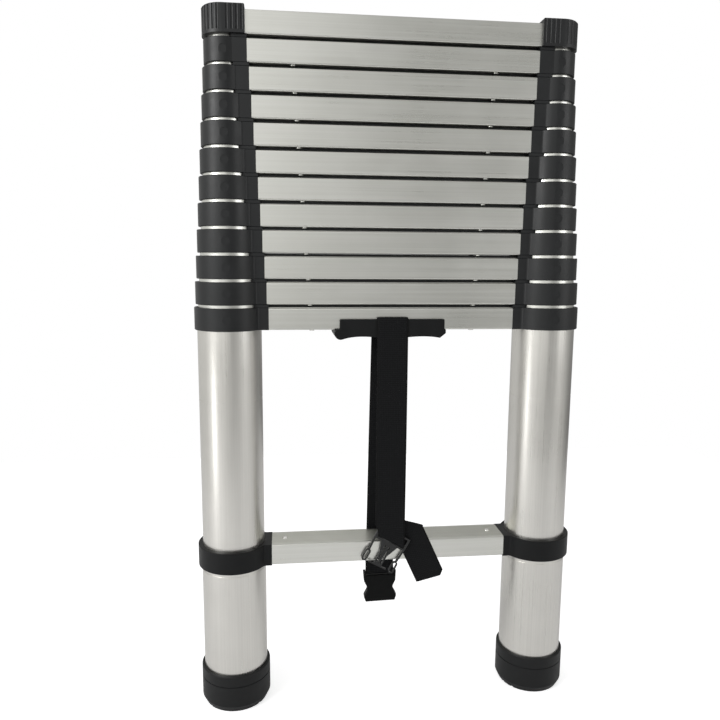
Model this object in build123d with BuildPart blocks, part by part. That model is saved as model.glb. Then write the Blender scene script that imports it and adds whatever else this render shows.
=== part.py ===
from build123d import *

import os
from math import cos, pi, radians, sin

# Telescoping ladder, modelled closed and standing on its two feet.
#
# Millimetres, +Z up, X along the rungs, climbing side facing -Y. The origin is on the
# floor, midway between the two feet. Sections are counted from the legs up: section 1
# carries the feet, the fixed rung, the carry handle and the strap, and section 12 the
# end caps.

os.makedirs("parts", exist_ok=True)

# ---- whole ladder ----
stile_spacing = 400.0       # between the axes of the two stiles
section_count = 12          # telescoping sections
rung_spacing = 300.0        # rung to rung with a section pulled out
stack_pitch = 30.7          # rung to rung with the ladder closed
fixed_rung_height = 187.0   # floor to the underside of the fixed rung

# ---- clearances ----
press_gap = 0.05            # between pieces that are pressed or riveted together
seat_gap = 0.1              # between pieces that rest on each other
running_gap = 0.3           # radial, between faces that slide past each other

# ---- stile tubes ----
lowest_tube_radius = 39.0
tube_wall = 1.4
tube_gap = 0.44             # radial, from one tube to the next one inside it
crimp_drop = 86.0           # from the collar down to the crimp that stops the next tube
crimp_width = 1.6
crimp_depth = 0.4
crimp_to_bush = 1.0         # left between crimp and bush on a section pulled out

# ---- rungs ----
rung_depth = 43.0
rung_height = 27.1          # over the tread ridges
rung_wall = 1.5
rung_corner = 2.0
tread_height = 0.5
tread_width = 1.3
tread_pitch = 3.5
tread_count = 10

# ---- collars ----
collar_height = 27.2
collar_wall = 3.0           # ring round the tube
collar_lip = 2.5            # over the tube's end
collar_edge = 0.6           # chamfer
socket_reach = 6.3          # block beyond the ring, on the lowest section
socket_taper = 0.26         # less reach on each section above
web_fillet = 4.0            # where the block meets the ring
dimple_radius = 5.0         # round mark on the collar's front
dimple_depth = 0.4
tenon_length = 24.0         # inside a rung that has no latches
latched_tenon_length = 58.0 # inside a rung with latches, up to the springs' seat and the rivets
pad_length = 18.0           # stacking pads that carry the collar above

# ---- end bushes, inside the foot of each moving tube ----
bush_flange = 4.0
bush_wall = 2.0
bush_spigot = 20.0

# ---- latches ----
bolt_radius = 4.0
bolt_chamfer = 0.8
latch_travel = 6.0
slider_length = 12.0
slider_width = 14.0
slider_height = 9.0
spring_room = 20.0          # behind the slider, for its spring
neck_length = 3.0
neck_width = 6.0
neck_setback = 0.5          # from the block's end face
tongue_length = 9.0
tongue_width = 19.0
tongue_height = 2.4
tongue_back = 4.0           # over the block, behind the neck
tongue_lift = 0.3           # above the collar's top
grip_width = 0.8
grip_depth = 0.5
grip_pitch = 2.2
grip_count = 3

# ---- tread strips, rubber, on the rungs that have another one above ----
strip_width = 24.0
strip_above = 0.4           # left under the rung above
strip_fork = 18.0           # slot in each end, for the latch's tongue and the top rung's rivets

# ---- rivets ----
rivet_head_radius = 3.2
rivet_head_height = 1.1
rivet_shank_radius = 1.6
rivet_shank_length = 4.2
rivet_setback = 16.5        # from the rung's end, above and below
latched_rivet_setback = 52.0
latched_rivet_spread = 31.2 # between the two under each end of a rung with latches

# ---- end caps ----
cap_radius = 25.0
cap_height = 31.6
cap_edge = 1.2
cap_skirt = 3.5             # plain band under the grip ribs
cap_arc_ribs = 14           # ribs round the outer half
cap_groove_radius = 1.7
cap_groove_offset = 0.4     # of the groove's centre, outside the cap's wall

# ---- legs, clamps and feet ----
clamp_radius = 44.7
clamp_height = 27.8
clamp_drop = 1.1            # below the fixed rung
clamp_reach = 4.0           # block beyond the clamp's ring
leg_crimp_drop = 4.5        # crimp below the clamp
foot_radius = 44.0
foot_height = 49.5
foot_floor = 10.0
foot_bevel_height = 8.0
foot_bevel_depth = 4.0
foot_rim = 1.2
foot_groove_drop = 14.0
foot_groove_width = 1.2
foot_groove_depth = 0.6
foot_plug_height = 12.0
foot_plug_wall = 3.0
sole_groove_width = 3.0
sole_groove_depth = 2.0
sole_groove_pitch = 13.0
sole_groove_count = 5

# ---- carry handle ----
handle_length = 130.0
handle_shift = -1.0         # of its middle, along the rung
handle_wall = 4.5
handle_rise = 13.3          # up the rung's faces
handle_floor = 8.2          # under the rung, at the finger crests
handle_wave = 1.8           # crest to trough of the finger grips
handle_hook = 5.4           # hook beyond the left end
handle_corner = 1.5
handle_edge = 0.8

# ---- strap ----
strap_width = 38.0
strap_thickness = 1.6
strap_groove_play = 0.6     # groove in the handle, wider and deeper than the strap
strap_stand_off = 0.9       # from the handle's walls to the hanging strap
strap_x = -1.0              # of its middle
strap_knee = 238.0          # height where both ends start to turn towards their buckle halves

# ---- buckle plug, clipped to nothing ----
plug_tilt = 29.0            # degrees, as it hangs
plug_bar_x = 1.4
plug_bar_height = 216.2
plug_thickness = 2.4
plug_arm = 3.0
plug_arm_top = 11.0         # above the bar
plug_grip_bar = 2.4
plug_crossbar = 2.6
guide_shoulder = 24.0       # width where the guide leaves the crossbar
guide_width = 11.0
guide_taper = 16.0          # length over which it narrows
guide_length = 31.0         # from the crossbar
guide_slot_width = 2.2
guide_slot_spread = 5.2
guide_slot_margin = 3.0     # from the crossbar and from the end bar
guide_end_width = 25.0
guide_end_bar = 1.8
prong_width = 2.4
prong_loop_wall = 1.8
prong_loop_length = 17.0    # springy loop at the prong's tip
prong_loop_width = 7.4
prong_loop_drop = 25.5      # of the loop's middle, from the crossbar
prong_lean = 1.0            # tips closer together than the arms

# ---- buckle socket ----
socket_tilt = 1.5           # degrees, as it hangs
socket_mouth_x = -5.5
socket_mouth_height = 108.5
socket_lip_width = 40.0
socket_mouth_width = 44.0
socket_waist_width = 35.2
socket_shoulder_width = 43.0
socket_lip = 6.0            # up to the mouth's widest part
socket_flare = 9.0
socket_waist_start = 17.0
socket_waist_end = 21.0
socket_shoulder = 29.0
socket_length = 43.2
socket_thickness = 11.0
socket_wall = 1.8
socket_edge = 1.5

# ---- loose end of the strap ----
tail_tilt = 24.5            # degrees
tail_x = 18.7               # middle of the fold at its top
tail_height = 238.8
tail_length = 88.3          # from the middle of the fold to the end's lowest corner
tail_fold_skew = 16.0       # the fold runs across the strap at a slant
tail_corner = 6.0           # cut off the end's right corner; the left one ends as much higher

# ---- what follows from the sizes above ----
half_spacing = stile_spacing / 2
tube_step = tube_wall + tube_gap
stroke = rung_spacing - stack_pitch
rung_body = rung_height - tread_height
rung_middle = press_gap + rung_body / 2
slider_room = slider_length + latch_travel + spring_room
tube_end_drop = collar_lip + press_gap
tube_length = rung_spacing + collar_height - tube_end_drop + crimp_drop + crimp_width / 2 + crimp_to_bush
tenon_depth = rung_depth - 2 * (rung_wall + seat_gap)
tenon_height = rung_body - 2 * (rung_wall + seat_gap)
bolt_hole_radius = bolt_radius + running_gap
top_section = section_count


def tube_radius(k):
    """Outer radius of section k's tube."""
    return lowest_tube_radius - (k - 1) * tube_step


def section_base(k):
    """Height of the underside of section k's collar."""
    return fixed_rung_height + rung_spacing + (k - 1) * stack_pitch


def tube_top(k):
    """Height of the upper end of section k's tube."""
    return section_base(k) + collar_height - tube_end_drop


def tube_foot(k):
    """Height of the lower end of section k's tube."""
    return foot_floor + press_gap if k == 1 else tube_top(k) - tube_length


def collar_radius(k):
    return tube_radius(k) + collar_wall


def socket_end(k):
    """Distance from the stile's axis to the rung's end."""
    return collar_radius(k) + socket_reach - (k - 1) * socket_taper


def bolt_height(k):
    return section_base(k) + rung_middle


def stile_plane(height):
    """Level plane centred on the left stile."""
    return Plane(origin=(-half_spacing, 0, height))


def inward_plane(distance, height):
    """Upright plane facing along the rung: local x is depth, local y is height."""
    return Plane(origin=(distance - half_spacing, 0, height), x_dir=(0, 1, 0), z_dir=(1, 0, 0))


def node_name(k, what):
    return f"section_{k:02d}_{what}"


def write(part, name):
    part.label = name
    export_step(part, f"parts/{name}.step")


# ---------------------------------------------------------------- tubes

def stile_tube(outer, bottom, top, crimp_height):
    """Left tube with its crimp; bores are cut by the caller."""
    with BuildPart() as tube:
        with BuildSketch(stile_plane(bottom)):
            Circle(outer)
            Circle(outer - tube_wall, mode=Mode.SUBTRACT)
        extrude(amount=top - bottom)
        if crimp_height:
            with BuildSketch(stile_plane(crimp_height - crimp_width / 2)):
                Circle(outer + tube_gap)
                Circle(outer - crimp_depth, mode=Mode.SUBTRACT)
            extrude(amount=crimp_width, mode=Mode.SUBTRACT)
    return tube.part


def section_tube(k):
    """Left tube of section k, with its bolt hole and its lock hole."""
    crimp_height = section_base(k) - crimp_drop if k < top_section else None
    holes = []
    if k < top_section:
        holes.append(bolt_height(k))
    if k > 1:
        holes.append(bolt_height(k - 1) - stroke)
    with BuildPart() as tube:
        add(stile_tube(tube_radius(k), tube_foot(k), tube_top(k), crimp_height))
        for height in holes:
            with BuildSketch(inward_plane(0, height)):
                Circle(bolt_hole_radius)
            extrude(amount=tube_radius(k) + tube_gap, mode=Mode.SUBTRACT)
    return tube.part


# ---------------------------------------------------------------- rungs

def rivet_places(end_distance, latched):
    """Plan positions of one rung's rivets."""
    if latched:
        x = half_spacing - end_distance - latched_rivet_setback
        return [(i * x, j * latched_rivet_spread / 2) for i in (-1, 1) for j in (-1, 1)]
    x = half_spacing - end_distance - rivet_setback
    return [(-x, 0), (x, 0)]


def rung(end_distance, bottom, latched):
    """Hollow rung between the two stiles, with tread ridges on top."""
    length = stile_spacing - 2 * end_distance
    body_bottom = bottom + press_gap
    with BuildPart() as bar:
        with BuildSketch(inward_plane(end_distance, body_bottom + rung_body / 2)):
            RectangleRounded(rung_depth, rung_body, rung_corner)
            with Locations((0, rung_body / 2)):
                with GridLocations(tread_pitch, 0, tread_count, 1):
                    Rectangle(tread_width, 2 * tread_height)
            Rectangle(rung_depth - 2 * rung_wall, rung_body - 2 * rung_wall, mode=Mode.SUBTRACT)
        extrude(amount=length)
        with BuildSketch(Plane.XY.offset(bottom)):
            with Locations(*rivet_places(end_distance, latched)):
                Circle(rivet_shank_radius + press_gap)
        extrude(amount=rung_wall + 2 * press_gap if latched else 2 * rung_height, mode=Mode.SUBTRACT)
        if not latched:
            # the ridges are cut away under each rivet's head
            with BuildSketch(Plane.XY.offset(body_bottom + rung_body)):
                with Locations(*rivet_places(end_distance, latched)):
                    Circle(rivet_head_radius + seat_gap)
            extrude(amount=2 * tread_height, mode=Mode.SUBTRACT)
        else:
            with BuildSketch(Plane.XY.offset(body_bottom + rung_body - 2 * rung_wall)):
                for side in (-1, 1):
                    with Locations((side * (half_spacing - end_distance), 0)):
                        Rectangle(2 * neck_slot, neck_width + 2 * running_gap)
            extrude(amount=2 * rung_wall + 2 * tread_height, mode=Mode.SUBTRACT)
    return bar.part


def rung_rivets(end_distance, bottom, latched):
    """Four rivets that hold one rung to its two sockets: all below where there are latches."""
    top = bottom + press_gap + rung_body
    places = rivet_places(end_distance, latched)
    with BuildPart() as rivets:
        if not latched:
            with BuildSketch(Plane.XY.offset(top + press_gap)):
                with Locations(*places):
                    Circle(rivet_head_radius)
            extrude(amount=rivet_head_height, taper=20)
            with BuildSketch(Plane.XY.offset(top - rivet_shank_length)):
                with Locations(*places):
                    Circle(rivet_shank_radius)
            extrude(amount=rivet_shank_length + press_gap)
        with BuildSketch(Plane.XY.offset(bottom)):
            with Locations(*places):
                Circle(rivet_shank_radius)
        extrude(amount=rivet_shank_length)
        with BuildSketch(Plane.XY.offset(bottom)):
            with Locations(*places):
                Circle(rivet_head_radius)
        extrude(amount=-rivet_head_height, taper=20)
    return rivets.part


# ---------------------------------------------------------------- collars, clamps and caps

neck_slot = neck_setback + neck_length + latch_travel + running_gap


def socket_blank(ring, end_distance, bottom, height):
    """Ring round the left stile with a block that takes the rung's end."""
    with BuildPart() as blank:
        with BuildSketch(stile_plane(bottom)) as outline:
            Circle(ring)
            with Locations((end_distance / 2, 0)):
                Rectangle(end_distance, rung_depth)
            fillet(outline.vertices().sort_by(Axis.X)[:2], web_fillet)
        extrude(amount=height)
        rims = blank.edges().group_by(Axis.Z)
        rung_end = end_distance - half_spacing
        chamfer([e for e in rims[0] + rims[-1] if e.center().X < rung_end - press_gap], collar_edge)
    return blank.part


def rung_tenon(end_distance, bottom, latched):
    """Spigot that fills the rung's end, with holes for its rivets."""
    places = [(x, y) for x, y in rivet_places(end_distance, latched) if x < 0]
    with BuildPart() as tenon:
        with BuildSketch(inward_plane(end_distance, bottom + rung_middle)):
            Rectangle(tenon_depth, tenon_height)
        extrude(amount=latched_tenon_length if latched else tenon_length)
        with BuildSketch(Plane.XY.offset(bottom)):
            with Locations(*places):
                Circle(rivet_shank_radius + press_gap)
        extrude(amount=rivet_shank_length + press_gap if latched else rung_height, mode=Mode.SUBTRACT)
    return tenon.part


def latch_room(end_distance, bottom):
    """Space for the bolt, the slider with its spring, and its neck."""
    with BuildPart() as room:
        with BuildSketch(inward_plane(0, bottom + rung_middle)):
            Circle(bolt_hole_radius)
        extrude(amount=end_distance)
        with BuildSketch(inward_plane(end_distance - running_gap - neck_setback, bottom + rung_middle)):
            Rectangle(slider_width + 2 * running_gap, slider_height + 2 * running_gap)
        extrude(amount=slider_room + 2 * running_gap)
        with BuildSketch(stile_plane(bottom + rung_middle)):
            with Locations((end_distance + neck_slot / 2, 0)):
                Rectangle(neck_slot, neck_width + 2 * running_gap)
        extrude(amount=rung_height)
    return room.part


def stacking_pads(k):
    """Two pads on the block that carry the collar above; the latch's tongue moves between them."""
    inner = tongue_width / 2 + running_gap
    depth = rung_depth / 2 - inner
    end = socket_end(k)
    with BuildPart() as pads:
        with BuildSketch(stile_plane(section_base(k) + collar_height)):
            for side in (-1, 1):
                with Locations((end - pad_length / 2, side * (inner + depth / 2))):
                    Rectangle(pad_length, depth)
            Circle(tube_radius(k + 1) + 2 * running_gap, mode=Mode.SUBTRACT)
        extrude(amount=stack_pitch - collar_height - seat_gap)
    return pads.part


def collar(k):
    """Left collar of section k."""
    base = section_base(k)
    end = socket_end(k)
    with BuildPart() as body:
        add(socket_blank(collar_radius(k), end, base, collar_height))
        add(rung_tenon(end, base, True))
        add(stacking_pads(k))
        with BuildSketch(stile_plane(base)):
            Circle(tube_radius(k) + press_gap)
        extrude(amount=collar_height - collar_lip, mode=Mode.SUBTRACT)
        with BuildSketch(stile_plane(base)):
            Circle(tube_radius(k + 1) + running_gap)
        extrude(amount=collar_height + 1, mode=Mode.SUBTRACT)
        add(latch_room(end, base), mode=Mode.SUBTRACT)
        front = Plane(origin=(-half_spacing, -collar_radius(k), base + collar_height / 2),
                      x_dir=(1, 0, 0), z_dir=(0, -1, 0))
        with BuildSketch(front.offset(-dimple_depth)):
            Circle(dimple_radius)
        extrude(amount=collar_wall, mode=Mode.SUBTRACT)
    return body.part


def tread_strip(k):
    """Rubber strip along the top of section k's rung, forked at both ends round the latches."""
    end = half_spacing - socket_end(k) - seat_gap
    bottom = section_base(k) + rung_height + 2 * press_gap
    top = section_base(k) + stack_pitch + press_gap - strip_above
    with BuildPart() as strip:
        with BuildSketch(Plane.XY.offset(bottom)):
            Rectangle(2 * end, strip_width)
            for side in (-1, 1):
                with Locations((side * end, 0)):
                    Rectangle(2 * strip_fork, tongue_width + 2 * running_gap, mode=Mode.SUBTRACT)
        extrude(amount=top - bottom)
    return strip.part


def end_bush(k):
    """Plastic bush in the lower end of section k's tube; its flange runs in the tube outside."""
    inside = tube_radius(k) - tube_wall - press_gap
    bottom = tube_foot(k)
    with BuildPart() as bush:
        with BuildSketch(stile_plane(bottom - bush_flange)):
            Circle(tube_radius(k) + tube_gap - running_gap)
        extrude(amount=bush_flange - press_gap)
        with BuildSketch(stile_plane(bottom - press_gap)):
            Circle(inside)
        extrude(amount=bush_spigot)
        with BuildSketch(stile_plane(bottom - bush_flange)):
            Circle(inside - bush_wall)
        extrude(amount=bush_flange + bush_spigot, mode=Mode.SUBTRACT)
    return bush.part


def end_cap():
    """Ribbed cap that closes the top tube and takes the top rung's end."""
    base = section_base(top_section)
    end = socket_end(top_section)
    rib_pitch = pi * cap_radius / cap_arc_ribs
    groove_line = cap_radius + cap_groove_offset
    with BuildPart() as body:
        with BuildSketch(stile_plane(base)):
            Circle(cap_radius)
            with Locations((end / 2, 0)):
                Rectangle(end, 2 * cap_radius)
        extrude(amount=cap_height)
        top_edges = body.edges().group_by(Axis.Z)[-1]
        chamfer(top_edges, cap_edge)
        add(rung_tenon(end, base, False))
        with BuildSketch(stile_plane(base + cap_skirt)):
            with PolarLocations(groove_line, cap_arc_ribs + 1, start_angle=90, angular_range=180):
                Circle(cap_groove_radius)
            count = int((end - cap_groove_radius) / rib_pitch)
            for side in (-1, 1):
                for i in range(count):
                    with Locations(((i + 1) * rib_pitch, side * groove_line)):
                        Circle(cap_groove_radius)
        extrude(amount=cap_height, mode=Mode.SUBTRACT)
        with BuildSketch(stile_plane(base)):
            Circle(tube_radius(top_section) + press_gap)
        extrude(amount=collar_height - collar_lip, mode=Mode.SUBTRACT)
    return body.part


# ---------------------------------------------------------------- latches

def latch(k):
    """Left latch of section k: bolt, slider, neck and thumb tongue in one piece."""
    end = socket_end(k)
    axis_height = bolt_height(k)
    tip = tube_radius(k + 1) + running_gap
    slider_start = end - neck_setback
    neck_start = end + neck_setback
    tongue_bottom = section_base(k) + collar_height + tongue_lift
    with BuildPart() as body:
        with BuildSketch(inward_plane(tip, axis_height)):
            Circle(bolt_radius)
        extrude(amount=slider_start - tip)
        chamfer(body.edges().group_by(Axis.X)[0], bolt_chamfer)
        with BuildSketch(inward_plane(slider_start, axis_height)):
            Rectangle(slider_width, slider_height)
        extrude(amount=slider_length)
        with BuildSketch(stile_plane(axis_height)):
            with Locations((neck_start + neck_length / 2, 0)):
                Rectangle(neck_length, neck_width)
        extrude(amount=tongue_bottom - axis_height + tongue_height / 2)
        with BuildSketch(stile_plane(tongue_bottom)):
            with Locations((end - tongue_back + tongue_length / 2, 0)):
                Rectangle(tongue_length, tongue_width)
        extrude(amount=tongue_height)
        with BuildSketch(stile_plane(tongue_bottom + tongue_height - grip_depth)):
            with Locations((end - tongue_back + tongue_length / 2, 0)):
                with GridLocations(grip_pitch, 0, grip_count, 1):
                    Rectangle(grip_width, tongue_width)
        extrude(amount=grip_depth, mode=Mode.SUBTRACT)
    return body.part


# ---------------------------------------------------------------- write the sections

for k in range(1, section_count + 1):
    with BuildPart() as tubes:
        add(section_tube(k))
        mirror(about=Plane.YZ)
    bar = rung(socket_end(k), section_base(k), k < top_section)
    rivets = rung_rivets(socket_end(k), section_base(k), k < top_section)
    if k == 1:
        write(tubes.part, node_name(k, "tubes"))
        write(bar, node_name(k, "rung"))
        first_rivets = rivets
    else:
        frame_solids = tubes.part.solids() + bar.solids() + rivets.solids()
        write(Compound(frame_solids), node_name(k, "tubes_and_rung"))

    with BuildPart() as plastics:
        add(collar(k) if k < top_section else end_cap())
        if k > 1:
            add(end_bush(k))
        mirror(about=Plane.YZ)
        if k < top_section:
            add(tread_strip(k))
    plastics_name = {1: "collars_and_strip", top_section: "caps_and_bushes"}.get(k, "collars_bushes_strip")
    write(plastics.part, node_name(k, plastics_name))

    if k < top_section:
        with BuildPart() as left_latch:
            add(latch(k))
        write(left_latch.part, node_name(k, "latch_left"))
        with BuildPart() as right_latch:
            add(mirror(left_latch.part, about=Plane.YZ))
        write(right_latch.part, node_name(k, "latch_right"))

# ---------------------------------------------------------------- legs, clamps, feet, fixed rung

clamp_bottom = fixed_rung_height - clamp_drop
clamp_end = clamp_radius + clamp_reach
sleeve_radius = lowest_tube_radius + press_gap + tube_wall
sleeve_top = clamp_bottom + clamp_height - collar_lip - press_gap

with BuildPart() as lower_legs:
    add(stile_tube(sleeve_radius, foot_floor + press_gap, sleeve_top, clamp_bottom - leg_crimp_drop))
    mirror(about=Plane.YZ)
write(lower_legs.part, "lower_legs")

with BuildPart() as lower_clamps:
    add(socket_blank(clamp_radius, clamp_end, clamp_bottom, clamp_height))
    add(rung_tenon(clamp_end, fixed_rung_height, False))
    with BuildSketch(stile_plane(clamp_bottom)):
        Circle(sleeve_radius + press_gap)
    extrude(amount=clamp_height - collar_lip, mode=Mode.SUBTRACT)
    with BuildSketch(stile_plane(clamp_bottom)):
        Circle(lowest_tube_radius + press_gap)
    extrude(amount=clamp_height + 1, mode=Mode.SUBTRACT)
    mirror(about=Plane.YZ)
write(lower_clamps.part, "lower_clamps")

with BuildPart() as lower_rung:
    add(rung(clamp_end, fixed_rung_height, False))
write(lower_rung.part, "lower_rung")

lower_rivets = rung_rivets(clamp_end, fixed_rung_height, False)
write(Compound(first_rivets.solids() + lower_rivets.solids()), "base_rung_rivets")

with BuildPart() as rubber_feet:
    with BuildSketch(Plane(origin=(-half_spacing, 0, 0), x_dir=(1, 0, 0), z_dir=(0, -1, 0))):
        with BuildLine():
            groove_top = foot_height - foot_groove_drop
            bore = sleeve_radius + press_gap
            plug = lowest_tube_radius - tube_wall - seat_gap
            Polyline(
                (0, 0),
                (foot_radius - foot_bevel_depth, 0),
                (foot_radius, foot_bevel_height),
                (foot_radius, groove_top - foot_groove_width),
                (foot_radius - foot_groove_depth, groove_top - foot_groove_width),
                (foot_radius - foot_groove_depth, groove_top),
                (foot_radius, groove_top),
                (foot_radius, foot_height - foot_rim),
                (foot_radius - foot_rim, foot_height),
                (bore, foot_height),
                (bore, foot_floor),
                (plug, foot_floor),
                (plug, foot_floor + foot_plug_height),
                (plug - foot_plug_wall, foot_floor + foot_plug_height),
                (plug - foot_plug_wall, foot_floor),
                (0, foot_floor),
                close=True,
            )
        make_face()
    revolve(axis=Axis((-half_spacing, 0, 0), (0, 0, 1)))
    with BuildSketch(stile_plane(0)):
        with GridLocations(0, sole_groove_pitch, 1, sole_groove_count):
            Rectangle(2 * foot_radius, sole_groove_width)
    extrude(amount=sole_groove_depth, mode=Mode.SUBTRACT)
    mirror(about=Plane.YZ)
write(rubber_feet.part, "rubber_feet")

# ---------------------------------------------------------------- carry handle

first_base = section_base(1)
rung_face = rung_depth / 2
groove_depth = strap_thickness + strap_groove_play
handle_left = handle_shift - handle_length / 2
handle_right = handle_shift + handle_length / 2
handle_top = first_base + handle_rise
crest = first_base - handle_floor
trough = crest - handle_wave
hook_bottom = trough - handle_wave
half_depth = rung_face + seat_gap + handle_wall
quarter = handle_length / 4

with BuildPart() as carry_handle:
    with BuildSketch(Plane.XZ.offset(-half_depth)):
        with BuildLine():
            Polyline(
                (handle_left - handle_hook, first_base),
                (handle_left, first_base + handle_wave),
                (handle_left, handle_top),
                (handle_right, handle_top),
                (handle_right, first_base + handle_wave),
                (handle_right + handle_wave, first_base),
                (handle_right + handle_wave, first_base - handle_floor / 2),
                (handle_right - handle_hook, trough),
            )
            Spline(
                (handle_right - handle_hook, trough),
                (handle_shift + quarter, crest),
                (handle_shift, trough),
                (handle_shift - quarter, crest),
                (handle_left + handle_hook, hook_bottom + handle_wave / 2),
                (handle_left, hook_bottom),
                (handle_left - handle_hook, trough + handle_wave),
                (handle_left - handle_hook, first_base),
            )
        make_face()
    extrude(amount=2 * half_depth)
    top_rims = carry_handle.edges().group_by(Axis.Z)[-1]
    fillet(top_rims.filter_by(Axis.Y), handle_corner)
    chamfer(carry_handle.faces().filter_by(Axis.Y).edges(), handle_edge)
    with BuildSketch(inward_plane(0, first_base)):
        with Locations((0, handle_rise / 2)):
            Rectangle(rung_depth + 2 * seat_gap, handle_rise + 2 * seat_gap)
    extrude(amount=stile_spacing, mode=Mode.SUBTRACT)
    # groove for the strap, in both walls and the floor
    groove_width = strap_width + 2 * strap_groove_play
    with BuildSketch(Plane.YZ.offset(strap_x - groove_width / 2)):
        with Locations((0, first_base + (handle_rise - groove_depth) / 2)):
            Rectangle(rung_depth + 2 * groove_depth, handle_rise + groove_depth + 2 * seat_gap)
    extrude(amount=groove_width, mode=Mode.SUBTRACT)
write(carry_handle.part, "carry_handle")

# ---------------------------------------------------------------- strap

# the strap lies in two layers, in front of the fixed rung and behind it
inner_layer = rung_face + running_gap
outer_layer = half_depth + strap_stand_off
turn_radius = (outer_layer - inner_layer - strap_thickness) / 2
turn_distance = outer_layer - turn_radius
bar_radius = turn_radius - running_gap
fold_height = handle_top - strap_groove_play
half_width = strap_width / 2


def strap_turn(middle):
    """Half ring of strap round the middle plane's origin, open towards that plane's +y."""
    outer = turn_radius + strap_thickness
    with BuildPart() as turn:
        with BuildSketch(middle):
            Circle(outer)
            Circle(turn_radius, mode=Mode.SUBTRACT)
            with Locations((0, outer / 2)):
                Rectangle(2 * outer, outer, mode=Mode.SUBTRACT)
        extrude(amount=half_width, both=True)
    return turn.part


def strap_over_rung(side):
    """One half of the strap's loop round the rung and the handle's wall; side is -1 at the front."""
    under = first_base - running_gap - strap_thickness
    middle = Plane(origin=(strap_x, 0, 0), x_dir=(0, 1, 0), z_dir=(1, 0, 0))
    with BuildPart() as loop:
        with BuildSketch(middle) as path:
            with Locations((side * (inner_layer + strap_thickness / 2), (under + fold_height) / 2)):
                Rectangle(strap_thickness, fold_height - under)
            with Locations((side * (inner_layer + strap_thickness) / 2, under + strap_thickness / 2)):
                Rectangle(inner_layer + strap_thickness, strap_thickness)
            corner = path.vertices().sort_by_distance((strap_x, side * 2 * half_depth, under))[0]
            fillet(corner, strap_thickness)
        extrude(amount=half_width, both=True)
        add(strap_turn(Plane(origin=(strap_x, side * turn_distance, fold_height),
                             x_dir=(0, -1, 0), z_dir=(1, 0, 0))))
    return loop.part


def hanging_strap(side, bar_x, bar_height, tilt):
    """Strand from the handle down to a buckle's bar; its end is cut along the bar."""
    run = half_width * cos(radians(tilt))
    rise = half_width * sin(radians(tilt))
    front = Plane.XZ.offset(-side * outer_layer)
    with BuildPart() as strand:
        with BuildSketch(front):
            with BuildLine():
                Polyline(
                    (strap_x - half_width, fold_height),
                    (strap_x + half_width, fold_height),
                    (strap_x + half_width, strap_knee),
                    (bar_x + run, bar_height - rise),
                    (bar_x - run, bar_height + rise),
                    (strap_x - half_width, strap_knee),
                    close=True,
                )
            make_face()
        extrude(amount=-side * strap_thickness)
    return strand.part


def buckle_plane(bar_x, distance, bar_height, tilt):
    """Upright plane facing forward: local x along the buckle's bar, local y up the strap."""
    along = (cos(radians(tilt)), 0, -sin(radians(tilt)))
    return Plane(origin=(bar_x, distance, bar_height), x_dir=along, z_dir=(0, -1, 0))


def bar_turn(bar_x, distance, bar_height, tilt):
    """Where the strap goes round a buckle's bar."""
    along = (cos(radians(tilt)), 0, -sin(radians(tilt)))
    return strap_turn(Plane(origin=(bar_x, distance, bar_height), x_dir=(0, 1, 0), z_dir=along))


socket_bar = socket_length - bar_radius
socket_bar_x = socket_mouth_x - socket_bar * sin(radians(socket_tilt))
socket_bar_height = socket_mouth_height + socket_bar * cos(radians(socket_tilt))

with BuildPart() as strap_front:
    add(strap_over_rung(-1))
    add(hanging_strap(-1, plug_bar_x, plug_bar_height, plug_tilt))
    add(bar_turn(plug_bar_x, -turn_distance, plug_bar_height, plug_tilt))
write(strap_front.part, "strap_front")

# the rear strand ends in a loop sewn round the socket's bar
sewn_length = strap_width / 2
with BuildPart() as strap_rear:
    add(strap_over_rung(1))
    add(hanging_strap(1, socket_bar_x, socket_bar_height, -socket_tilt))
    add(bar_turn(socket_bar_x, turn_distance, socket_bar_height, -socket_tilt))
    with BuildSketch(buckle_plane(socket_bar_x, inner_layer + strap_thickness,
                                  socket_bar_height, -socket_tilt)):
        with Locations((0, sewn_length / 2)):
            Rectangle(strap_width, sewn_length)
    extrude(amount=strap_thickness)
write(strap_rear.part, "strap_rear")

tail_plane = Plane(origin=(tail_x, -inner_layer, tail_height), z_dir=(0, -1, 0),
                   x_dir=(cos(radians(tail_tilt)), 0, sin(radians(tail_tilt))))
fold_left = tail_plane.from_local_coords((-half_width, tail_fold_skew))
fold_right = tail_plane.from_local_coords((half_width, -tail_fold_skew))
bar_plane = buckle_plane(plug_bar_x, -inner_layer, plug_bar_height, plug_tilt)
bar_left = bar_plane.from_local_coords((-half_width, 0))
bar_right = bar_plane.from_local_coords((half_width, 0))

with BuildPart() as strap_tail:
    with BuildSketch(tail_plane):
        with BuildLine():
            Polyline(
                (-half_width, tail_fold_skew),
                (half_width, -tail_fold_skew),
                (half_width, tail_corner - tail_length),
                (half_width - tail_corner, -tail_length),
                (-half_width, tail_corner - tail_length),
                close=True,
            )
        make_face()
    # between the buckle's bar and the fold, behind the front strand
    with BuildSketch(Plane.XZ.offset(inner_layer)):
        with BuildLine():
            Polyline(*[(p.X, p.Z) for p in (bar_left, bar_right, fold_right, fold_left)], close=True)
        make_face()
    extrude(amount=strap_thickness)
    # room for the turn round the buckle's bar
    turn_reach = turn_radius + strap_thickness
    with BuildSketch(bar_plane):
        with Locations((0, -turn_reach / 2)):
            Rectangle(strap_width + 2 * running_gap, turn_reach)
    extrude(amount=strap_thickness, mode=Mode.SUBTRACT)
write(strap_tail.part, "strap_tail")

# ---------------------------------------------------------------- buckle

arm_inside = half_width + running_gap
arm_middle = arm_inside + plug_arm / 2
arm_outside = arm_inside + plug_arm
crossbar_top = -(turn_radius + strap_thickness + running_gap)
crossbar_bottom = crossbar_top - plug_crossbar

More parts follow.
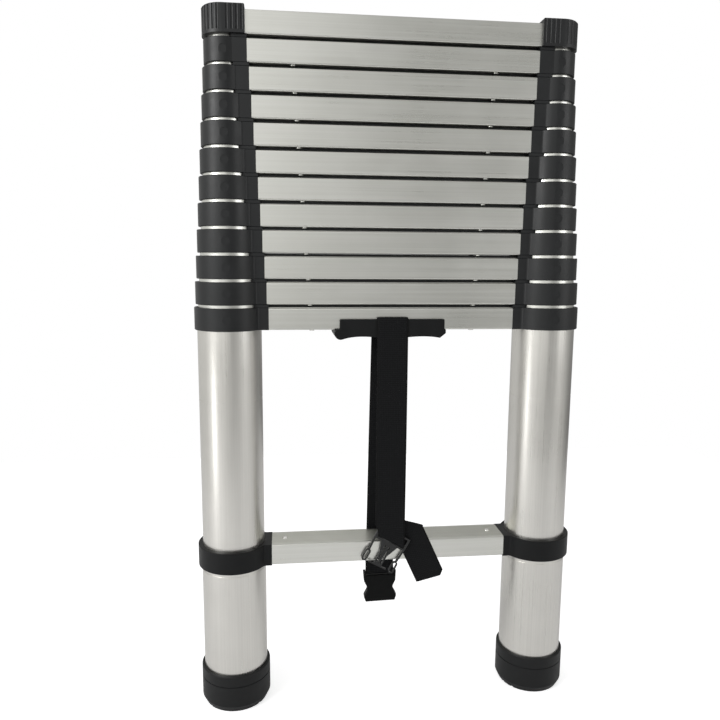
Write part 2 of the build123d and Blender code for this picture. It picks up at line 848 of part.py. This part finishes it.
with BuildPart() as buckle_plug:
    plug_face = buckle_plane(plug_bar_x, -turn_distance, plug_bar_height, plug_tilt)
    with BuildSketch(plug_face.offset(-plug_thickness / 2)):
        for side in (-1, 1):
            with Locations((side * arm_middle, (plug_arm_top + crossbar_bottom) / 2)):
                Rectangle(plug_arm, plug_arm_top - crossbar_bottom)
        with Locations((0, plug_arm_top - plug_grip_bar / 2)):
            Rectangle(2 * arm_middle, plug_grip_bar)
        with Locations((0, (crossbar_top + crossbar_bottom) / 2)):
            Rectangle(2 * arm_middle, plug_crossbar)
        # guide: a tapered plate with two slots and a flared end bar
        guide_end = crossbar_bottom - guide_length
        guide_side = [
            (guide_shoulder / 2, crossbar_bottom),
            (guide_width / 2, crossbar_bottom - guide_taper),
            (guide_width / 2, guide_end),
        ]
        with BuildLine():
            Polyline(*guide_side, *[(-x, y) for x, y in reversed(guide_side)], close=True)
        make_face()
        with Locations((0, guide_end - guide_end_bar / 2)):
            Rectangle(guide_end_width, guide_end_bar)
        with Locations((0, guide_end + guide_length / 2)):
            with GridLocations(guide_slot_spread, 0, 2, 1):
                SlotOverall(guide_length - 2 * guide_slot_margin, guide_slot_width, rotation=90,
                            mode=Mode.SUBTRACT)
        # springy prongs with a loop at each tip
        loop_middle = crossbar_bottom - prong_loop_drop
        tip_x = arm_middle - prong_lean
        for side in (-1, 1):
            with BuildLine():
                Polyline(
                    (side * arm_outside, crossbar_bottom),
                    (side * (tip_x + prong_width / 2), loop_middle + prong_loop_length / 2 - prong_width / 2),
                    (side * (tip_x - prong_width / 2), loop_middle + prong_loop_length / 2 - prong_width / 2),
                    (side * (arm_outside - prong_width), crossbar_bottom),
                    close=True,
                )
            make_face()
            with Locations((side * tip_x, loop_middle)):
                SlotOverall(prong_loop_length, prong_loop_width, rotation=90)
                SlotOverall(prong_loop_length - 2 * prong_loop_wall, prong_loop_width - 2 * prong_loop_wall,
                            rotation=90, mode=Mode.SUBTRACT)
    extrude(amount=plug_thickness)
    bar_end = plug_face.from_local_coords((-arm_middle, 0, 0))
    with BuildSketch(Plane(origin=bar_end, z_dir=plug_face.x_dir)):
        Circle(bar_radius)
    extrude(amount=2 * arm_middle)
write(buckle_plug.part, "buckle_plug")

socket_face = Plane(
    origin=(socket_mouth_x, turn_distance, socket_mouth_height),
    x_dir=(cos(radians(socket_tilt)), 0, sin(radians(socket_tilt))),
    z_dir=(0, -1, 0),
)
socket_side = [
    (socket_lip_width / 2, 0),
    (socket_mouth_width / 2, socket_lip),
    (socket_mouth_width / 2, socket_flare),
    (socket_waist_width / 2, socket_waist_start),
    (socket_waist_width / 2, socket_waist_end),
    (socket_shoulder_width / 2, socket_shoulder),
    (arm_outside, socket_bar),
    (arm_outside, socket_length),
]
socket_outline = socket_side + [(-x, y) for x, y in reversed(socket_side)]
slot_bottom = socket_bar - turn_radius - strap_thickness - 2 * running_gap
inside_depth = socket_thickness - 2 * socket_wall

with BuildPart() as buckle_socket:
    with BuildSketch(socket_face.offset(-socket_thickness / 2)):
        with BuildLine():
            Polyline(*socket_outline, close=True)
        make_face()
    extrude(amount=socket_thickness)
    chamfer(buckle_socket.faces().filter_by(Axis.Y).edges(), socket_edge)
    # gap between the side arms, where the strap goes round the bar
    with BuildSketch(socket_face.offset(-socket_thickness)):
        with Locations((0, slot_bottom + socket_length / 2)):
            Rectangle(2 * arm_inside, socket_length)
    extrude(amount=2 * socket_thickness, mode=Mode.SUBTRACT)
    # room for the plug, open at the mouth and at both sides of the waist
    with BuildSketch(socket_face.offset(-inside_depth / 2)):
        with BuildLine():
            Polyline(*socket_outline, close=True)
        make_face()
        offset(amount=-socket_wall, mode=Mode.REPLACE)
        Rectangle(socket_lip_width - 2 * socket_wall, 2 * socket_lip)
        with Locations((0, (socket_waist_start + socket_waist_end) / 2)):
            Rectangle(socket_mouth_width, socket_waist_end - socket_waist_start)
        with Locations((0, slot_bottom - 2 * socket_wall + socket_length / 2)):
            Rectangle(2 * socket_mouth_width, socket_length, mode=Mode.SUBTRACT)
    extrude(amount=inside_depth, mode=Mode.SUBTRACT)
    with BuildSketch(Plane(origin=(socket_bar_x, turn_distance, socket_bar_height),
                           z_dir=socket_face.x_dir)):
        Circle(bar_radius)
    extrude(amount=arm_inside + socket_wall / 2, both=True)
write(buckle_socket.part, "buckle_socket")
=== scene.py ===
import math

import bmesh
import bpy
import numpy as np
from mathutils import Matrix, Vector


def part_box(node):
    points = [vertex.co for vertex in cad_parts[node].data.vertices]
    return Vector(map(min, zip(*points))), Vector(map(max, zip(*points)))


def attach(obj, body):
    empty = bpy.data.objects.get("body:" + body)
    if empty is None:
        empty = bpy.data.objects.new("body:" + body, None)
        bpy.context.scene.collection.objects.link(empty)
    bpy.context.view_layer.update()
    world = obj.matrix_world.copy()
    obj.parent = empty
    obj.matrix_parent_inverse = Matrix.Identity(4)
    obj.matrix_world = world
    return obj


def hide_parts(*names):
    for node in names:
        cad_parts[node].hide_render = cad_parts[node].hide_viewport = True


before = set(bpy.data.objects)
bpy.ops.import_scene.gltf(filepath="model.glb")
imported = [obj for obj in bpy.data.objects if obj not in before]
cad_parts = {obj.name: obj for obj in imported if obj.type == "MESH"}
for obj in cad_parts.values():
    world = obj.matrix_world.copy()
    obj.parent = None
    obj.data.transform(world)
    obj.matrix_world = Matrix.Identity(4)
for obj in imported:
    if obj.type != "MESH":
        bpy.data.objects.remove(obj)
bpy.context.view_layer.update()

# ---------------------------------------------------------------- stile tubes and leg sleeves
# Twelve pairs of drawn aluminium tubes that slide inside each other, and two shorter
# sleeves round the lowest pair. Drawing leaves faint lines along each tube, and the clear
# anodising over them gives a soft satin sheen.


def srgb(hex_value, alpha=1.0):
    """'#rrggbb' as linear values: c/12.92 below 0.04045, else ((c + 0.055)/1.055)^2.4."""
    channels = [int(hex_value[i:i + 2], 16) / 255 for i in (1, 3, 5)]
    linear = [c / 12.92 if c <= 0.04045 else ((c + 0.055) / 1.055) ** 2.4 for c in channels]
    return (*linear, alpha)


def add_node(tree, kind, links=None, settings=None, **inputs):
    """Adds one shader node: settings are its properties, inputs its socket values, links its wires."""
    node = tree.nodes.new(kind)
    for key, value in (settings or {}).items():
        setattr(node, key, value)
    for key, value in inputs.items():
        node.inputs[int(key[1:]) if key[1:].isdigit() else key.replace("_", " ")].default_value = value
    for key, source in (links or {}).items():
        tree.links.new(source, node.inputs[key])
    return node


def new_finish(name):
    """Empty node material with its shader: returns the material, its tree and the shader."""
    finish = bpy.data.materials.new(name)
    finish.use_nodes = True
    tree = finish.node_tree
    tree.nodes.clear()
    output = tree.nodes.new("ShaderNodeOutputMaterial")
    shader = tree.nodes.new("ShaderNodeBsdfPrincipled")
    tree.links.new(shader.outputs["BSDF"], output.inputs["Surface"])
    return finish, tree, shader


def drawn_aluminium(name, across, base, shade, roughness):
    """Satin anodised aluminium with drawing lines; across is their frequency per metre on each axis."""
    finish, tree, shader = new_finish(name)
    where = add_node(tree, "ShaderNodeTexCoord")
    lines_at = add_node(tree, "ShaderNodeMapping", {"Vector": where.outputs["Object"]}, Scale=across)
    lines = add_node(tree, "ShaderNodeTexNoise", {"Vector": lines_at.outputs["Vector"]},
                     Scale=1.0, Detail=3.0, Roughness=0.6)
    cloud = add_node(tree, "ShaderNodeTexNoise", {"Vector": where.outputs["Object"]},
                     Scale=9.0, Detail=4.0, Roughness=0.55)
    both = add_node(tree, "ShaderNodeMath", {0: lines.outputs["Fac"], 1: cloud.outputs["Fac"]},
                    {"operation": "ADD"})
    mean = add_node(tree, "ShaderNodeMath", {0: both.outputs[0]}, {"operation": "MULTIPLY"}, _1=0.5)
    tone = add_node(tree, "ShaderNodeValToRGB", {"Fac": mean.outputs[0]})
    tone.color_ramp.elements[0].position = 0.36
    tone.color_ramp.elements[0].color = srgb(shade)
    tone.color_ramp.elements[1].position = 0.62
    tone.color_ramp.elements[1].color = srgb(base)
    rough = add_node(tree, "ShaderNodeMapRange", {"Value": both.outputs[0]},
                     From_Min=0.7, From_Max=1.3, To_Min=roughness - 0.05, To_Max=roughness + 0.06)
    bump = add_node(tree, "ShaderNodeBump", {"Height": lines.outputs["Fac"]},
                    Strength=0.05, Distance=0.0001)
    tree.links.new(tone.outputs["Color"], shader.inputs["Base Color"])
    tree.links.new(rough.outputs["Result"], shader.inputs["Roughness"])
    tree.links.new(bump.outputs["Normal"], shader.inputs["Normal"])
    shader.inputs["Metallic"].default_value = 1.0
    return finish


def finish_node(name, finish):
    """Gives one finish to every material slot of a CAD node."""
    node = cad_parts[name]
    if not node.material_slots:
        node.data.materials.append(finish)
    for slot in node.material_slots:
        slot.material = finish


tube_finish = drawn_aluminium("anodised_aluminium_tube", (700.0, 700.0, 5.0),
                              "#d8d6d1", "#cfcdc8", 0.30)
for name in ("lower_legs", "section_01_tubes"):
    finish_node(name, tube_finish)

# ---------------------------------------------------------------- rungs and rivets
# Hollow aluminium extrusions with tread ridges on top, drawn along their length and riveted.
# In each moving section the tubes, the rung and its rivets share a node and its finish. Only
# the rivets of the lower rung and of section 1's rung have a node of their own, and are brighter.

rung_finish = drawn_aluminium("anodised_aluminium_rung", (4.0, 500.0, 500.0),
                              "#d9d9d4", "#d0d0ca", 0.31)
rivet_finish = drawn_aluminium("bright_aluminium_rivet", (300.0, 300.0, 300.0),
                               "#e4e3df", "#cfcec9", 0.22)
for name in ("lower_rung", "section_01_rung"):
    finish_node(name, rung_finish)
finish_node("base_rung_rivets", rivet_finish)
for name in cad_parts:
    if name.endswith("tubes_and_rung"):
        finish_node(name, rung_finish)

# ---------------------------------------------------------------- black mouldings
# Collars and caps in black polypropylene with a fine eroded texture, slightly cool in tone,
# and so are the bushes and strips in their nodes. Latches and the buckle's plug are glossier,
# clamps and handle duller, the socket nearly without sheen, and the feet are rubber.


def moulded_black(name, base, shade, roughness, grain, depth, gloss):
    """Black moulded plastic or rubber: grain is the texture's size in metres, depth its bump."""
    finish, tree, shader = new_finish(name)
    where = add_node(tree, "ShaderNodeTexCoord")
    cloud = add_node(tree, "ShaderNodeTexNoise", {"Vector": where.outputs["Object"]},
                     Scale=35.0, Detail=5.0, Roughness=0.6)
    tone = add_node(tree, "ShaderNodeValToRGB", {"Fac": cloud.outputs["Fac"]})
    tone.color_ramp.elements[0].position = 0.35
    tone.color_ramp.elements[0].color = srgb(shade)
    tone.color_ramp.elements[1].position = 0.7
    tone.color_ramp.elements[1].color = srgb(base)
    skin = add_node(tree, "ShaderNodeTexNoise", {"Vector": where.outputs["Object"]},
                    Scale=1.0 / grain, Detail=2.0, Roughness=0.5)
    rough = add_node(tree, "ShaderNodeMapRange", {"Value": cloud.outputs["Fac"]},
                     From_Min=0.3, From_Max=0.7, To_Min=roughness - 0.05, To_Max=roughness + 0.08)
    bump = add_node(tree, "ShaderNodeBump", {"Height": skin.outputs["Fac"]},
                    Strength=0.35, Distance=depth)
    shader.inputs["Specular IOR Level"].default_value = gloss
    tree.links.new(tone.outputs["Color"], shader.inputs["Base Color"])
    tree.links.new(rough.outputs["Result"], shader.inputs["Roughness"])
    tree.links.new(bump.outputs["Normal"], shader.inputs["Normal"])
    return finish


collar_finish = moulded_black("moulded_black_polypropylene", "#101214", "#0a0c0e",
                              roughness=0.42, grain=0.0008, depth=0.0001, gloss=0.42)
latch_finish = moulded_black("moulded_black_acetal", "#0b0c0d", "#070808",
                             roughness=0.24, grain=0.0006, depth=0.00005, gloss=0.5)
fitting_finish = moulded_black("moulded_black_nylon", "#0d0e0f", "#08090a",
                               roughness=0.45, grain=0.0008, depth=0.0001, gloss=0.22)
socket_finish = moulded_black("moulded_black_buckle", "#060707", "#040505",
                              roughness=0.38, grain=0.0006, depth=0.00008, gloss=0.12)
foot_finish = moulded_black("moulded_black_rubber", "#101112", "#0b0c0d",
                            roughness=0.50, grain=0.0012, depth=0.0002, gloss=0.28)
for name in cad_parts:
    if "collars" in name or "caps_and" in name:
        finish_node(name, collar_finish)
    if name in ("lower_clamps", "carry_handle"):
        finish_node(name, fitting_finish)
    if "latch" in name or name == "buckle_plug":
        finish_node(name, latch_finish)
finish_node("rubber_feet", foot_finish)
finish_node("buckle_socket", socket_finish)

# ---------------------------------------------------------------- strap
# One length of black webbing. It is sewn round the socket's bar behind, goes up over the
# handle's rear wall and under the rung of section 1, over the front wall, down round the
# plug's bar, and folds over into a loose tail.

web_width = 0.038
web_thickness = 0.0015
layer = 0.0016                          # thickness of one layer of the part's own strap
bend = 0.0026                           # from the middle of a bar to the middle of the webbing
plug_tilt = math.radians(29)
plug_corner = (0.0223, 0.011)           # grip bar's end, from the middle of the webbing's bar
socket_tilt = math.radians(1.5)
socket_corner = (0.0223, 0.0015)         # socket's top corner, from the middle of its bar
socket_inset = 0.0006                   # of the bar to the left, because the socket leans
tail_tilt = math.radians(24.5)
tail_length = 0.0883
tail_skew = 0.016                       # the fold runs across the webbing at a slant
tail_cut = 0.006                        # corner cut off at its end
sewn_rise = 0.019
under_gap = 0.0012                      # from the rung's underside to the middle of the webbing
knee_rise = 0.0014                      # of the bend in the front strand, over the plug's top
corner_radius = 0.002                   # of the two bends under the rung
fold_radius = 0.0009                    # of the fold at the top of the tail
fold_shift = 0.0002                     # of the fold and the tail below it, towards the front
strand_bow = 0.0010                     # of each long strand, away from the other one
tail_bow = 0.0008
end_step = 0.0001                       # keeps the end's uncut corner off the row above it

half_web = web_width / 2
front_low, front_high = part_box("strap_front")
tail_low, tail_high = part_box("strap_tail")
plug_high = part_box("buckle_plug")[1]
socket_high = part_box("buckle_socket")[1]
web_x = front_low[0] + half_web
bar_y = -front_low[1] - layer / 2 - bend
inner_y = bar_y - bend
over_z = front_high[2] - layer / 2 - bend
under_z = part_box("section_01_rung")[0][2] - under_gap


def slanted(tilt):
    """Unit vectors along a bar whose right end drops by tilt, and square to it, upwards."""
    return (np.array((math.cos(tilt), 0.0, -math.sin(tilt))),
            np.array((math.sin(tilt), 0.0, math.cos(tilt))))


def edges(middle, along):
    """The webbing's left and right edge where its middle line crosses that place."""
    middle = np.array(middle)
    return np.stack((middle - half_web * along, middle + half_web * along))


def turn(pair, start, arc, radius=bend, count=9):
    """Webbing bent round an axis through both points of pair; at angle a its middle is out from
    the axis by radius times cos a towards the front and radius times sin a upwards."""
    along = (pair[1] - pair[0]) / np.linalg.norm(pair[1] - pair[0])
    front = np.array((0.0, -1.0, 0.0))
    up = np.cross(front, along)
    angle = np.linspace(start, start + arc, count)[:, None, None]
    return pair + radius * (np.cos(angle) * front + np.sin(angle) * up)


def run(first, last, count, bow=0.0):
    """Webbing between two pairs of edge points, both left out, bowed to the back in its middle."""
    t = np.linspace(0, 1, count + 2)[1:-1, None, None]
    pairs = first + (last - first) * t
    pairs[:, :, 1] += bow * np.sin(math.pi * t[:, :, 0])
    return pairs


def webbing_mesh(name, pairs, columns=17):
    """Closed strip of webbing round the sheet between both edges. Its thickness falls to half at
    the selvedges, with the eighth power of the distance from the middle line."""
    across = np.linspace(0, 1, columns)[None, :, None]
    sheet = pairs[:, :1] * (1 - across) + pairs[:, 1:] * across
    normal = np.cross(pairs[:, 1:] - pairs[:, :1], np.gradient(sheet, axis=0))
    normal /= np.linalg.norm(normal, axis=2, keepdims=True)
    half = web_thickness / 2 * (1 - 0.5 * np.abs(2 * across - 1) ** 8)
    skin = np.concatenate((sheet + normal * half, (sheet - normal * half)[:, ::-1]), axis=1)
    rows, around = skin.shape[:2]
    index = np.arange(rows * around).reshape(rows, around)
    beside = np.roll(index, -1, axis=1)
    walls = np.stack((index[:-1], beside[:-1], beside[1:], index[1:]), axis=-1).reshape(-1, 4)
    j = np.arange(columns - 1)
    caps = [np.stack((row[j], row[around - 1 - j], row[around - 2 - j], row[j + 1]), axis=-1)
            for row in (index[0], index[-1])]
    mesh = bpy.data.meshes.new(name)
    mesh.from_pydata(skin.reshape(-1, 3).tolist(), [], np.concatenate([walls, *caps]).tolist())

    # both faces carry the distance across and along the webbing, in metres
    middle = sheet[:, columns // 2]
    along = np.concatenate(([0.0], np.cumsum(np.linalg.norm(np.diff(middle, axis=0), axis=1))))
    place = np.zeros((rows, around, 2))
    place[:, :, 0] = np.concatenate((np.linspace(-half_web, half_web, columns),
                                     np.linspace(half_web, -half_web, columns)))
    place[:, :, 1] = along[:, None]
    corner = np.empty(len(mesh.loops), dtype=np.int32)
    mesh.loops.foreach_get("vertex_index", corner)
    mesh.uv_layers.new(name="webbing").data.foreach_set("uv", place.reshape(-1, 2)[corner].ravel())

    shell = bmesh.new()
    shell.from_mesh(mesh)
    bmesh.ops.recalc_face_normals(shell, faces=shell.faces)
    shell.to_mesh(mesh)
    shell.free()
    mesh.shade_smooth()
    piece = bpy.data.objects.new(name, mesh)
    bpy.context.scene.collection.objects.link(piece)
    return piece, along[-1]


half_circle = math.pi
quarter_circle = math.pi / 2
level = slanted(0.0)[0]
plug_along, plug_up = slanted(plug_tilt)
socket_along, socket_up = slanted(-socket_tilt)
tail_along, tail_up = slanted(-tail_tilt)
plug_place = np.array((
    plug_high[0] - plug_corner[0] * plug_along[0] - plug_corner[1] * plug_up[0], -bar_y,
    plug_high[2] + plug_corner[0] * plug_along[2] - plug_corner[1] * plug_up[2]))
socket_place = np.array((
    socket_high[0] - socket_corner[0] * socket_along[0] - socket_inset, bar_y,
    socket_high[2] - socket_corner[0] * socket_along[2] - socket_corner[1] * socket_up[2]))

# behind: sewn end, socket's bar, up, over the handle's wall and down to the rung's underside
socket_bar = edges(socket_place, socket_along)
rear = turn(socket_bar, 0, -half_circle)
over_rear = turn(edges((web_x, bar_y, over_z), level), half_circle, -half_circle)
sewn_end = rear[0] + sewn_rise * socket_up + np.array((0, 2 * bend - layer, 0))
low_z = under_z + corner_radius
rear_corner = turn(edges((web_x, inner_y - corner_radius, low_z), level),
                   half_circle, quarter_circle, corner_radius, 5)
front_corner = turn(edges((web_x, corner_radius - inner_y, low_z), level),
                    -quarter_circle, quarter_circle, corner_radius, 5)

# in front: over the handle's wall, down to the knee, round the plug's bar
over_front = turn(edges((web_x, -bar_y, over_z), level), half_circle, -half_circle)
plug_bar = edges(plug_place, plug_along)
front = turn(plug_bar, 0, -half_circle)
knee = edges((web_x, front[0, 0, 1], plug_high[2] + knee_rise), level)

# tail: up behind the bar, a flat slanted fold, and down to its cut end
tail_x = tail_high[0] - half_web * tail_along[0] + (tail_length - tail_cut) * tail_up[0]
tail_z = tail_high[2] + half_web * tail_along[2] - tail_skew * tail_up[2]
fold_middle = np.array((tail_x, fold_radius - inner_y - fold_shift, tail_z))
fold_line = np.stack((fold_middle - half_web * tail_along + tail_skew * tail_up,
                      fold_middle + half_web * tail_along - tail_skew * tail_up))
fold = turn(fold_line, half_circle, -half_circle, fold_radius, 7)
drop = fold[-1, :, 1].mean() - fold_middle[1]
hanging = edges(fold_middle + np.array((0, drop, 0)), tail_along)
cut_start = hanging - (tail_length - tail_cut) * tail_up
tail_end = cut_start + np.stack((end_step * tail_along, -tail_cut * (tail_along + tail_up)))

web_pairs = np.concatenate([
    sewn_end[None], run(sewn_end, rear[0], 6),
    rear, run(rear[-1], over_rear[0], 60, strand_bow),
    over_rear, run(over_rear[-1], rear_corner[0], 3),
    rear_corner, run(rear_corner[-1], front_corner[0], 8),
    front_corner, run(front_corner[-1], over_front[0], 3),
    over_front, run(over_front[-1], knee, 50, -strand_bow),
    knee[None], run(knee, front[0], 8),
    front, run(front[-1], fold[0], 10),
    fold, run(fold[-1], cut_start, 24, tail_bow),
    cut_start[None], run(cut_start, tail_end, 3),
    tail_end[None]])
webbing, web_length = webbing_mesh("strap_webbing", web_pairs)
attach(webbing, "section_01")
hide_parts("strap_front", "strap_rear", "strap_tail")


def woven(name, thread_and_painted_sheen, shade, lift):
    """Polypropylene webbing: crossed sine waves in metres across and along give its raised picks."""
    finish, tree, shader = new_finish(name)
    where = add_node(tree, "ShaderNodeUVMap", settings={"uv_map": "webbing"})
    on_web = add_node(tree, "ShaderNodeSeparateXYZ", {"Vector": where.outputs["UV"]})
    wave = []
    for axis, pitch in (("X", 0.0021), ("Y", 0.0026)):
        angle = add_node(tree, "ShaderNodeMath", {0: on_web.outputs[axis]}, {"operation": "MULTIPLY"},
                         _1=math.pi / pitch)
        wave.append(add_node(tree, "ShaderNodeMath", {0: angle.outputs[0]}, {"operation": "SINE"}))
    picks = add_node(tree, "ShaderNodeMath", {0: wave[0].outputs[0], 1: wave[1].outputs[0]},
                     {"operation": "MULTIPLY"})
    raised = add_node(tree, "ShaderNodeMath", {0: picks.outputs[0]}, {"operation": "ABSOLUTE"})
    # the selvedge is a plain band along each edge, flatter, so it takes less of the painted sheen and is
    # darker
    off_middle = add_node(tree, "ShaderNodeMath", {0: on_web.outputs["X"]}, {"operation": "ABSOLUTE"})
    inside = add_node(tree, "ShaderNodeMapRange", {"Value": off_middle.outputs[0]},
                      From_Min=half_web - 0.0026, From_Max=half_web - 0.0018, To_Min=1.0, To_Max=0.25)
    relief = add_node(tree, "ShaderNodeMath", {0: raised.outputs[0], 1: inside.outputs["Result"]},
                      {"operation": "MULTIPLY"})
    fuzz = add_node(tree, "ShaderNodeTexNoise", {"Vector": where.outputs["UV"]},
                    Scale=900.0, Detail=3.0, Roughness=0.7)
    painted_sheen_and_mottle = add_node(tree, "ShaderNodeMath", {0: relief.outputs[0], 1: fuzz.outputs["Fac"]},
                      {"operation": "MULTIPLY"})
    # painted sheen and shade: the colour follows the picks' height, lighter on the raised picks and darker
    # in the hollows between them, mottled by noise
    tone = add_node(tree, "ShaderNodeValToRGB", {"Fac": painted_sheen_and_mottle.outputs[0]})
    tone.color_ramp.elements[0].position = 0.12
    tone.color_ramp.elements[0].color = srgb(shade)
    tone.color_ramp.elements[1].position = 0.55
    tone.color_ramp.elements[1].color = srgb(thread_and_painted_sheen)
    bump = add_node(tree, "ShaderNodeBump", {"Height": relief.outputs[0]}, Strength=0.8, Distance=lift)
    tree.links.new(tone.outputs["Color"], shader.inputs["Base Color"])
    tree.links.new(bump.outputs["Normal"], shader.inputs["Normal"])
    shader.inputs["Roughness"].default_value = 0.68
    shader.inputs["Specular IOR Level"].default_value = 0.14
    shader.inputs["Sheen Weight"].default_value = 0.02
    shader.inputs["Sheen Roughness"].default_value = 0.45
    return finish


# 16181a is the thread's tone with painted sheen on the raised picks, #040405 the painted shade between
# them
webbing.data.materials.append(woven("black_polypropylene_webbing", "#16181a", "#040405", 0.0003))

# ---------------------------------------------------------------- floor, light and camera
# A white floor and sky, a large soft key from the left, a weaker fill from the right, a small
# low light on the left leg, and a camera in front of the ladder, slightly to its left, looking
# down a little.

floor_mesh = bpy.data.meshes.new("floor")
floor_reach = 1.1
floor_corners = [(floor_reach * x, floor_reach * y, 0) for x, y in ((-1, -1), (1, -1), (1, 1), (-1, 1))]
floor_mesh.from_pydata(floor_corners, [], [(0, 1, 2, 3)])
floor = bpy.data.objects.new("floor", floor_mesh)
bpy.context.scene.collection.objects.link(floor)
floor_finish, floor_tree, floor_shader = new_finish("pale_floor")
floor_shader.inputs["Base Color"].default_value = srgb("#f2f2f2")
floor_shader.inputs["Roughness"].default_value = 0.8
# brightened for the camera, so that only the ladder's soft shadow is left on it, and a
# little for what the metal mirrors
seen_glow = 0.62
mirrored_glow = 0.12
floor_rays = floor_tree.nodes.new("ShaderNodeLightPath")
for_mirrors = add_node(floor_tree, "ShaderNodeMath", {0: floor_rays.outputs["Is Glossy Ray"]},
                       {"operation": "MULTIPLY"}, _1=mirrored_glow)
glow = add_node(floor_tree, "ShaderNodeMath",
                {0: floor_rays.outputs["Is Camera Ray"], 2: for_mirrors.outputs[0]},
                {"operation": "MULTIPLY_ADD"}, _1=seen_glow)
floor_shader.inputs["Emission Color"].default_value = (1, 1, 1, 1)
floor_tree.links.new(glow.outputs[0], floor_shader.inputs["Emission Strength"])
floor_mesh.materials.append(floor_finish)

world = bpy.data.worlds.new("studio")
world.use_nodes = True
bpy.context.scene.world = world
sky = world.node_tree
sky.nodes.clear()
sky_rays = sky.nodes.new("ShaderNodeLightPath")
# what metal mirrors: a room whose brightness changes with the direction round the ladder,
# from behind over the left, the front in the middle of the ramp, and the right
outward = add_node(sky, "ShaderNodeTexCoord")
way = add_node(sky, "ShaderNodeSeparateXYZ", {"Vector": outward.outputs["Generated"]})
toward = add_node(sky, "ShaderNodeMath", {0: way.outputs["Y"]}, {"operation": "MULTIPLY"}, _1=-1.0)
azimuth = add_node(sky, "ShaderNodeMath", {0: way.outputs["X"], 1: toward.outputs[0]},
                   {"operation": "ARCTAN2"})
round_turn = add_node(sky, "ShaderNodeMapRange", {"Value": azimuth.outputs[0]},
                      From_Min=-math.pi, From_Max=math.pi, To_Min=0.0, To_Max=1.0)


def room_tones(tones):
    """Brightness round the ladder. Each pair is a direction in degrees, 0 in front and the left
    negative, and a tone. The first and the last pair are the ramp's two ends, behind."""
    ramp = add_node(sky, "ShaderNodeValToRGB", {"Fac": round_turn.outputs["Result"]})
    ramp.color_ramp.interpolation = "EASE"
    stops = ramp.color_ramp.elements
    for degrees, tone in tones[1:-1]:
        stops.new(degrees / 360 + 0.5)
    for stop, (degrees, tone) in zip(stops, tones):
        stop.color = (tone, tone, 0.98 * tone, 1)
    return ramp.outputs["Color"]


below = room_tones((
    (-180, 0.55), (-129, 0.68), (-69, 0.72), (-43, 0.52), (-15, 0.42), (5, 0.38), (28, 0.42),
    (52, 0.55), (79, 0.50), (105, 0.24), (140, 0.18), (180, 0.30)))
above = room_tones((
    (-180, 0.66), (-100, 0.80), (-50, 1.20), (-5, 1.25), (5, 0.48), (20, 0.44), (52, 0.60),
    (90, 0.50), (120, 0.30), (180, 0.66)))
rise = add_node(sky, "ShaderNodeMapRange", {"Value": way.outputs["Z"]},
                From_Min=-0.16, From_Max=-0.05, To_Min=0.0, To_Max=1.0)
room = add_node(sky, "ShaderNodeMix", {0: rise.outputs["Result"], 6: below, 7: above},
                {"data_type": "RGBA"})
dim = add_node(sky, "ShaderNodeBackground", Color=(1, 1, 1, 1), Strength=0.45)
mirrored = add_node(sky, "ShaderNodeBackground", {"Color": room.outputs[2]}, Strength=1.0)
white = add_node(sky, "ShaderNodeBackground", Color=(1, 1, 1, 1), Strength=1.0)
for_metal = add_node(sky, "ShaderNodeMixShader",
                     {0: sky_rays.outputs["Is Glossy Ray"], 1: dim.outputs[0], 2: mirrored.outputs[0]})
for_camera = add_node(sky, "ShaderNodeMixShader",
                      {0: sky_rays.outputs["Is Camera Ray"], 1: for_metal.outputs[0], 2: white.outputs[0]})
add_node(sky, "ShaderNodeOutputWorld", {0: for_camera.outputs[0]})


def area_light(name, place, aim, size, power):
    """Square soft light at place, facing aim."""
    lamp = bpy.data.lights.new(name, "AREA")
    lamp.shape = "SQUARE"
    lamp.size = size
    lamp.energy = power
    holder = bpy.data.objects.new(name, lamp)
    bpy.context.scene.collection.objects.link(holder)
    holder.location = place
    away = np.array(place) - np.array(aim)
    yaw = math.atan2(away[0], -away[1])
    pitch = math.atan2(away[2], math.hypot(away[0], away[1]))
    holder.rotation_euler = (math.pi / 2 - pitch, 0, yaw)


ladder_middle = (0, 0, 0.45)
left_foot = (-0.2, 0, 0.08)
area_light("key", (-1.9, -1.2, 1.5), ladder_middle, size=1.2, power=30)
area_light("fill", (1.9, -1.3, 1.0), ladder_middle, size=1.2, power=10)
area_light("low_window", (-1.2, -0.6, 0.10), left_foot, size=0.3, power=0.8)

lens = bpy.data.cameras.new("camera")
lens.lens = 33.904
lens.sensor_width = 36.0
lens.clip_start = 0.01
camera = bpy.data.objects.new("camera", lens)
bpy.context.scene.collection.objects.link(camera)
camera.location = (-0.13307, -0.84491, 0.57089)
pitch, yaw, roll = (math.radians(v) for v in (-8.3286, -6.4069, -0.4154))
camera.rotation_mode = "XYZ"
# level and facing the back at zero; rolled about its own line of sight first
turned = Matrix.Rotation(yaw, 3, "Z") @ Matrix.Rotation(pitch, 3, "X") @ Matrix.Rotation(roll, 3, "Y")
camera.rotation_euler = (turned @ Matrix.Rotation(math.pi / 2, 3, "X")).to_euler()
bpy.context.scene.camera = camera
bpy.context.scene.view_settings.view_transform = "Standard"
